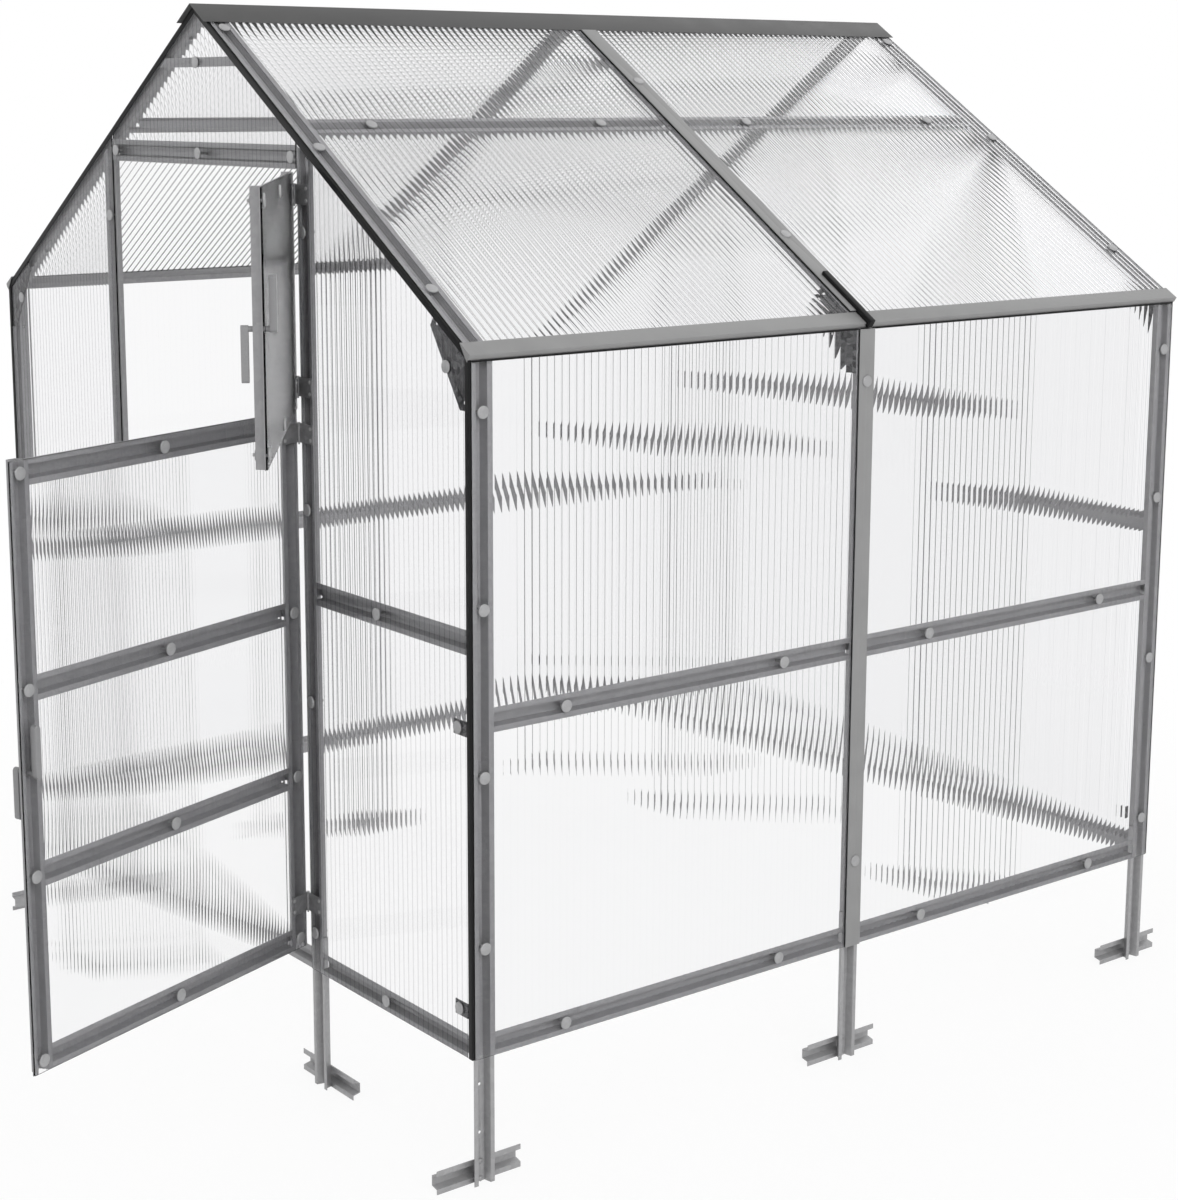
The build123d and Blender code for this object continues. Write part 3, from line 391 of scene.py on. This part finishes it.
wall_plastic = clear_plastic("clear_sheet_wall", clear_tone, clear_rib_shade)
roof_plastic = clear_plastic("clear_sheet_roof", roof_tone, roof_rib_shade)
bays = {"front": (-house_half_depth, -sheet_joint), "rear": (sheet_joint, house_half_depth)}
for side, wall, roof in (("right", right_wall, right_roof), ("left", left_wall, left_roof)):
    for bay, (start, end) in bays.items():
        left, right = (start, end) if side == "right" else (-end, -start)
        wall_sheet = fluted_sheet(f"{side}_wall_sheet_{bay}", wall, left, right, sheet_edge, wall_sheet_top)
        finish_piece(wall_sheet, wall_plastic, "house", "clear_sheet", f"{side}_wall_sheets")
        roof_top = slope_length - sheet_edge
        roof_sheet = fluted_sheet(f"{side}_roof_sheet_{bay}", roof, left, right, roof_sheet_foot, roof_top)
        finish_piece(roof_sheet, roof_plastic, "house", "clear_sheet", f"{side}_roof_sheets")

# The gables: fluted sheets of the same kind, cut to the slope. The front one leaves the doorway open and
# has a sheet of its own in the peak over it, the rear one has a middle sheet from the ground to the peak.
door_post_line = 425.0 * mm
door_half = 401.0 * mm
door_head = 1684.0 * mm
gable_rise = 0.2 * mm
gable_tone = (0.955, 0.955, 0.96, 1.0)
# Painted shade along the gable's flute valleys, dark like the roof's.
gable_rib_shade = (0.42, 0.42, 0.43, 1.0)
door_edge = door_half + sheet_edge
peak_point = Vector((0, ridge_height, 0))
slope_cuts = [(peak_point, Vector((sign * slope_sin, slope_cos, 0))) for sign in (-1, 1)]
gable_plastic = clear_plastic("clear_sheet_gable", gable_tone, gable_rib_shade)
for gable, wall, inner, outer, foot in (
    ("front", front_wall, door_edge + sheet_joint, door_edge, door_head + sheet_edge),
    ("rear", rear_wall, door_post_line + sheet_joint, door_post_line - sheet_joint, sheet_edge),
):
    for side, sign, cut in (("left", -1, slope_cuts[0]), ("right", 1, slope_cuts[1])):
        left, right = sorted((sign * inner, sign * house_half_width))
        top = ridge_height - inner * slope_sin / slope_cos
        field = fluted_sheet(
            f"{gable}_gable_sheet_{side}",
            wall,
            left,
            right,
            sheet_edge,
            top + mm,
            rise=gable_rise,
            cuts=[cut],
        )
        finish_piece(field, gable_plastic, "house", "clear_sheet", f"{gable}_gable_sheets")
    peak = fluted_sheet(
        f"{gable}_gable_sheet_middle",
        wall,
        -outer,
        outer,
        foot,
        ridge_height + mm,
        rise=gable_rise,
        cuts=slope_cuts,
    )
    finish_piece(peak, gable_plastic, "house", "clear_sheet", f"{gable}_gable_sheets")

# The door sheets: one clear plastic sheet on the outside of each leaf, extruded with finer and flatter
# flutes than the walls have, and screwed to the leaf's bars.
pin_place = Vector((399.0 * mm, -1010.5 * mm, base_level))
pin_proud = 5.5 * mm
leaf_angles = {"lower": math.radians(109.7), "upper": math.radians(145.5)}
leaf_heights = {"lower": (52.0 * mm, 1197.5 * mm), "upper": (1202.5 * mm, 1680.0 * mm)}
leaf_edges = (-791.0 * mm, -4.0 * mm)
leaf_pitch = 9.0 * mm
leaf_rise = 0.4 * mm
leaf_gloss = 0.65
leaf_plastic = clear_plastic("clear_sheet_leaf", clear_tone, clear_rib_shade, leaf_gloss)
leaf_frames = {}
for leaf, angle in leaf_angles.items():
    out = Vector((math.sin(angle), -math.cos(angle), 0))
    along = (math.cos(angle), math.sin(angle), 0)
    leaf_frames[leaf] = wall_frame(pin_place - out * pin_proud, along, (0, 0, 1))
    foot, top = leaf_heights[leaf]
    leaf_sheet = fluted_sheet(
        f"{leaf}_door_sheet",
        leaf_frames[leaf],
        leaf_edges[0],
        leaf_edges[1],
        foot + mm,
        top - mm,
        leaf_pitch,
        leaf_rise,
    )
    finish_piece(leaf_sheet, leaf_plastic, f"{leaf}_leaf", "clear_sheet", f"{leaf}_sheet")

# The door frames: galvanised hat bars like those of the house, two stiles with rails between them, bolted
# at their crossings behind the sheet.
for leaf, angle in leaf_angles.items():
    along = zinc_steel(f"zinc_steel_{leaf}_rails", (line_stretch, 1.0, 1.0), (0.0, 0.0, -angle))
    for node, steel in ((f"{leaf}_stiles", upright), (f"{leaf}_rails", along)):
        finish_piece(rounded_copy(node, bar_round), steel, f"{leaf}_leaf", "zinc_steel", node)

# The edge strips and strip caps: black plastic profiles, the strips pushed over the sheet edges and the
# caps hooked over the flashings, with softly rounded edges.
plastic_low = (0.007, 0.007, 0.0075, 1.0)
plastic_high = (0.013, 0.013, 0.0135, 1.0)
strip_round = 0.6 * mm
strip_cap_round = 2.2 * mm


def moulded_plastic(name, low, high, rough, grain, shine):
    """Moulded plastic with a fine grain."""
    material, tree, shader = new_finish(name)
    fine = pattern(tree, "ShaderNodeTexNoise", grain)
    fine.inputs["Detail"].default_value = 5.0
    link(tree, ramp(tree, fine, "Fac", low, high), "Color", shader, "Base Color")
    link(tree, spread(tree, fine, "Fac", rough - 0.08, rough + 0.08), "Result", shader, "Roughness")
    shader.inputs["Specular IOR Level"].default_value = shine
    relief(tree, shader, fine, "Fac", 0.1, 0.15 * mm)
    return material


black_plastic = moulded_plastic("black_plastic", plastic_low, plastic_high, 0.5, 700.0, 0.15)
for node, radius, segments in (("edge_strips", strip_round, 2), ("strip_caps", strip_cap_round, 3)):
    finish_piece(rounded_copy(node, radius, segments), black_plastic, "house", "black_plastic", node)

# The seals: soft black rubber strips, extruded and laid under the cover strips, where they keep water out
# of the joints between the sheets.
rubber_low = (0.006, 0.006, 0.006, 1.0)
rubber_high = (0.012, 0.012, 0.012, 1.0)
rubber = moulded_plastic("rubber", rubber_low, rubber_high, 0.75, 1200.0, 0.1)
finish_piece(rounded_copy("strip_seals", strip_round), rubber, "house", "rubber", "strip_seals")

# The cover strips, eave flashings and ridge cap: bent from sheet metal and painted grey, the cap darker.
# The strips cover the sheet joints, the flashings close the eaves and the cap lies over the ridge.
trim_low = (0.275, 0.275, 0.275, 1.0)
trim_high = (0.305, 0.305, 0.305, 1.0)
cap_low = (0.088, 0.088, 0.088, 1.0)
cap_high = (0.104, 0.104, 0.104, 1.0)
trim_round = 0.5 * mm


def painted_trim(name, low, high):
    """Sheet metal with a satin coat of paint, a little uneven."""
    material, tree, shader = new_finish(name)
    cloud = pattern(tree, "ShaderNodeTexNoise", 14.0)
    cloud.inputs["Detail"].default_value = 3.0
    peel = pattern(tree, "ShaderNodeTexNoise", 900.0)
    link(tree, ramp(tree, cloud, "Fac", low, high), "Color", shader, "Base Color")
    link(tree, spread(tree, cloud, "Fac", 0.42, 0.55), "Result", shader, "Roughness")
    shader.inputs["Specular IOR Level"].default_value = 0.2
    relief(tree, shader, peel, "Fac", 0.06, 0.1 * mm)
    return material


grey_trim = painted_trim("grey_trim", trim_low, trim_high)
dark_trim = painted_trim("dark_trim", cap_low, cap_high)
for node, paint in (("cover_strips", grey_trim), ("eave_flashings", grey_trim), ("ridge_cap", dark_trim)):
    finish_piece(rounded_copy(node, trim_round), paint, "house", "grey_trim", node)

# The screws: low domed caps of pale metal on a slim shank, with six-sided bolts in the legs and round
# rivets in the hinges. They sit where the frame has its own screws, bolts and rivets.
pale_dark = (0.36, 0.36, 0.365, 1.0)
pale_light = (0.42, 0.42, 0.425, 1.0)
fastener_reach = 20.0 * mm


def fastener(name, corners, radius, thick, bevel, segments, stem):
    """A head with a rounded upper edge on a short shank, standing on its wall."""
    rod = new_primitive(bpy.ops.mesh.primitive_cylinder_add, vertices=8, radius=stem, depth=mm)
    rod.location = (0, 0, -mm / 2)
    fix_place(rod)
    head = new_primitive(bpy.ops.mesh.primitive_cylinder_add, vertices=corners, radius=radius, depth=thick)
    head.name = name
    head.location = (0, 0, thick / 2)
    fix_place(head)
    edit(head)
    pick(head, "EDGE", lambda edge: min(v.co.z for v in edge.verts) > thick * 0.9)
    bpy.ops.mesh.bevel(offset=bevel, segments=segments)
    close_edit()
    rod.select_set(True)
    bpy.ops.object.join()
    bpy.ops.object.shade_smooth_by_angle(angle=math.radians(50.0))
    return head


def seats(node, walls):
    """The place, width and length of each fastener that a piece of the frame has on its walls."""
    loose = bpy.data.objects.new("loose_fasteners", nodes[node].data.copy())
    bpy.context.scene.collection.objects.link(loose)
    edit(loose)
    bpy.ops.mesh.select_all(action="SELECT")
    bpy.ops.mesh.remove_doubles(threshold=weld_gap)
    bpy.ops.mesh.separate(type="LOOSE")
    close_edit()
    found = []
    for part in list(bpy.context.selected_objects):
        for wall in walls:
            inward = wall.inverted()
            local = [inward @ v.co for v in part.data.vertices]
            lows = [min(point[axis] for point in local) for axis in range(3)]
            highs = [max(point[axis] for point in local) for axis in range(3)]
            levels = {round(point.z / mm, 1) for point in local}
            if len(levels) < 5 and abs(highs[2]) < fastener_reach:
                top = Vector(((lows[0] + highs[0]) / 2, (lows[1] + highs[1]) / 2, highs[2]))
                found.append((wall @ Matrix.Translation(top), highs[0] - lows[0], highs[2] - lows[2]))
        bpy.data.objects.remove(part)
    return found


def fasten(node, walls, body):
    """Copies the heads to all their places on a piece of the frame and joins the copies of each kind."""
    copies = {}
    for place, width, length in seats(node, walls):
        kind = min(heads, key=lambda name: abs(2 * heads[name][1] - width))
        head, radius, thick = heads[kind]
        copy = bpy.data.objects.new(f"{node}_{kind}", head.data.copy())
        bpy.context.scene.collection.objects.link(copy)
        for v in copy.data.vertices:
            if v.co.z < 0:
                v.co.z = thick - length
        copy.matrix_world = place @ Matrix.Translation((0, 0, -thick))
        copies.setdefault(kind, []).append(copy)
    for group in copies.values():
        bpy.ops.object.select_all(action="DESELECT")
        for copy in group:
            copy.select_set(True)
        bpy.context.view_layer.objects.active = group[0]
        bpy.ops.object.join()
        fix_place(group[0])
        finish_piece(group[0], screw_metal, body, "screw_metal", node)


heads = {}
for kind, corners, radius, thick, bevel, segments, stem in (
    ("caps", 16, 12.5 * mm, 3.0 * mm, 1.3 * mm, 2, 3.0 * mm),
    ("bolts", 6, 5.5 * mm, 3.5 * mm, 0.6 * mm, 1, 3.0 * mm),
    ("rivets", 10, 4.0 * mm, 1.5 * mm, 1.0 * mm, 2, 2.0 * mm),
):
    heads[kind] = (fastener(kind, corners, radius, thick, bevel, segments, stem), radius, thick)
screw_metal = zinc_steel("screw_metal", (1.0, 1.0, 1.0), dark=pale_dark, pale=pale_light)
house_walls = (right_wall, left_wall, front_wall, rear_wall, right_roof, left_roof)
fasten("frame_screws", house_walls, "house")
fasten("lower_screws", [leaf_frames["lower"]], "lower_leaf")
fasten("upper_screws", [leaf_frames["upper"]], "upper_leaf")
for head, radius, thick in heads.values():
    bpy.data.objects.remove(head)

# The hinges: narrow halves pressed from zinc-plated steel and riveted to the right door post and to the
# leaves, with pale steel pins through their knuckles.
hinge_low = (0.2, 0.2, 0.205, 1.0)
hinge_high = (0.26, 0.26, 0.265, 1.0)
hinge_round = 0.3 * mm
hinge_metal = zinc_steel("hinge_metal", (1.0, 1.0, 1.0), dark=hinge_low, pale=hinge_high)
for node, body, metal, slot in (
    ("hinge_brackets", "house", hinge_metal, "hinge_metal"),
    ("lower_hinge_leaves", "lower_leaf", hinge_metal, "hinge_metal"),
    ("upper_hinge_leaves", "upper_leaf", hinge_metal, "hinge_metal"),
    ("hinge_pins", "house", screw_metal, "screw_metal"),
):
    finish_piece(rounded_copy(node, hinge_round), metal, body, slot, node)

# The latches: grey plastic levers, moulded with rounded edges, one inside and one outside each leaf, on one
# spindle that passes through the free stile.
latch_low = (0.26, 0.26, 0.265, 1.0)
latch_high = (0.3, 0.3, 0.305, 1.0)
latch_round = 1.6 * mm
latch_plastic = moulded_plastic("latch_plastic", latch_low, latch_high, 0.4, 500.0, 0.3)
for leaf in leaf_angles:
    lever = rounded_copy(f"{leaf}_latch", latch_round, 3)
    finish_piece(lever, latch_plastic, f"{leaf}_latch_body", "latch_plastic", f"{leaf}_latch")

# The stage: a wide white floor that keeps a soft shadow near the house, large soft lamps, and a white
# surround that shows in metal and through the sheets.
floor_size = 120.0
shadow_reach = (1.2, 3.2)
shadow_share = (0.9, 1.0)
ambient_strength = 0.74
lamp_size = 6.0
lamp_aim = Vector((0, 0, 1.2))
floor = new_primitive(bpy.ops.mesh.primitive_plane_add, size=floor_size)
floor.name = "floor"
material, tree, shader = new_finish("floor_white")
shader.inputs["Base Color"].default_value = (0.9, 0.9, 0.9, 1.0)
shader.inputs["Roughness"].default_value = 0.9
shader.inputs["Specular IOR Level"].default_value = 0.0


def seen_rays(tree):
    """One for the rays that show the surround: from the camera, from gloss and through clear sheets."""
    path = tree.nodes.new("ShaderNodeLightPath")
    first = tree.nodes.new("ShaderNodeMath")
    first.operation = "MAXIMUM"
    link(tree, path, "Is Camera Ray", first, 0)
    link(tree, path, "Is Glossy Ray", first, 1)
    both = tree.nodes.new("ShaderNodeMath")
    both.operation = "MAXIMUM"
    link(tree, first, "Value", both, 0)
    link(tree, path, "Is Transmission Ray", both, 1)
    return both


white = tree.nodes.new("ShaderNodeEmission")
white.inputs["Color"].default_value = (1.0, 1.0, 1.0, 1.0)
place = tree.nodes.new("ShaderNodeTexCoord")
reach = tree.nodes.new("ShaderNodeVectorMath")
reach.operation = "LENGTH"
link(tree, place, "Object", reach, 0)
fade = tree.nodes.new("ShaderNodeMapRange")
fade.inputs["From Min"].default_value = shadow_reach[0]
fade.inputs["From Max"].default_value = shadow_reach[1]
fade.inputs["To Min"].default_value = shadow_share[0]
fade.inputs["To Max"].default_value = shadow_share[1]
link(tree, reach, "Value", fade, "Value")
share = tree.nodes.new("ShaderNodeMath")
share.operation = "MULTIPLY"
link(tree, fade, "Result", share, 0)
link(tree, seen_rays(tree), "Value", share, 1)
surface = tree.nodes.new("ShaderNodeMixShader")
link(tree, share, "Value", surface, "Fac")
tree.links.new(shader.outputs["BSDF"], surface.inputs[1])
tree.links.new(white.outputs["Emission"], surface.inputs[2])
link(tree, surface, "Shader", tree.nodes["Material Output"], "Surface")
floor.data.materials.append(material)

scene = bpy.context.scene
world = bpy.data.worlds.new("surround")
scene.world = world
world.use_nodes = True
tree = world.node_tree
ambient = tree.nodes["Background"]
ambient.inputs["Color"].default_value = (1.0, 1.0, 1.0, 1.0)
ambient.inputs["Strength"].default_value = ambient_strength
bright = tree.nodes.new("ShaderNodeBackground")
bright.inputs["Color"].default_value = (1.0, 1.0, 1.0, 1.0)
bright.inputs["Strength"].default_value = 1.0
surround = tree.nodes.new("ShaderNodeMixShader")
link(tree, seen_rays(tree), "Value", surround, "Fac")
tree.links.new(ambient.outputs["Background"], surround.inputs[1])
tree.links.new(bright.outputs["Background"], surround.inputs[2])
link(tree, surround, "Shader", tree.nodes["World Output"], "Surface")

for name, spot, power in (
    ("key_lamp", (8.0, -2.0, 6.0), 250.0),
    ("fill_lamp", (-6.0, -5.0, 5.0), 40.0),
    ("back_lamp", (-2.0, 7.0, 7.0), 60.0),
):
    data = bpy.data.lights.new(name, "AREA")
    data.shape = "SQUARE"
    data.size = lamp_size
    data.energy = power
    lamp = bpy.data.objects.new(name, data)
    scene.collection.objects.link(lamp)
    lamp.location = spot
    lamp.rotation_euler = (lamp_aim - Vector(spot)).to_track_quat("-Z", "Y").to_euler()

# The camera: placed and turned as a fit to the straight edges of the frame gave it, with the lens centre
# off the middle of the picture.
camera_place = (4.3582, -3.3680, 2.0852)
camera_yaw = math.radians(52.766)
camera_tilt = math.radians(-10.2185)
camera_roll = math.radians(0.0285)
picture_side = 1200.0
sensor_side = 36.0
focal_pixels = 2266.4
lens_centre = (553.07, 507.20)
picture_centre = (589.0, 600.0)
data = bpy.data.cameras.new("camera")
data.sensor_fit = "VERTICAL"
data.sensor_height = sensor_side
data.lens = sensor_side * focal_pixels / picture_side
data.shift_x = (picture_centre[0] - lens_centre[0]) / picture_side
data.shift_y = (lens_centre[1] - picture_centre[1]) / picture_side
data.clip_end = 300.0
camera = bpy.data.objects.new("camera", data)
scene.collection.objects.link(camera)
turn = Euler((math.pi / 2 + camera_tilt, 0.0, camera_yaw)).to_matrix() @ Matrix.Rotation(camera_roll, 3, "Z")
camera.matrix_world = Matrix.Translation(camera_place) @ turn.to_4x4()
scene.camera = camera
scene.view_settings.view_transform = "Standard"
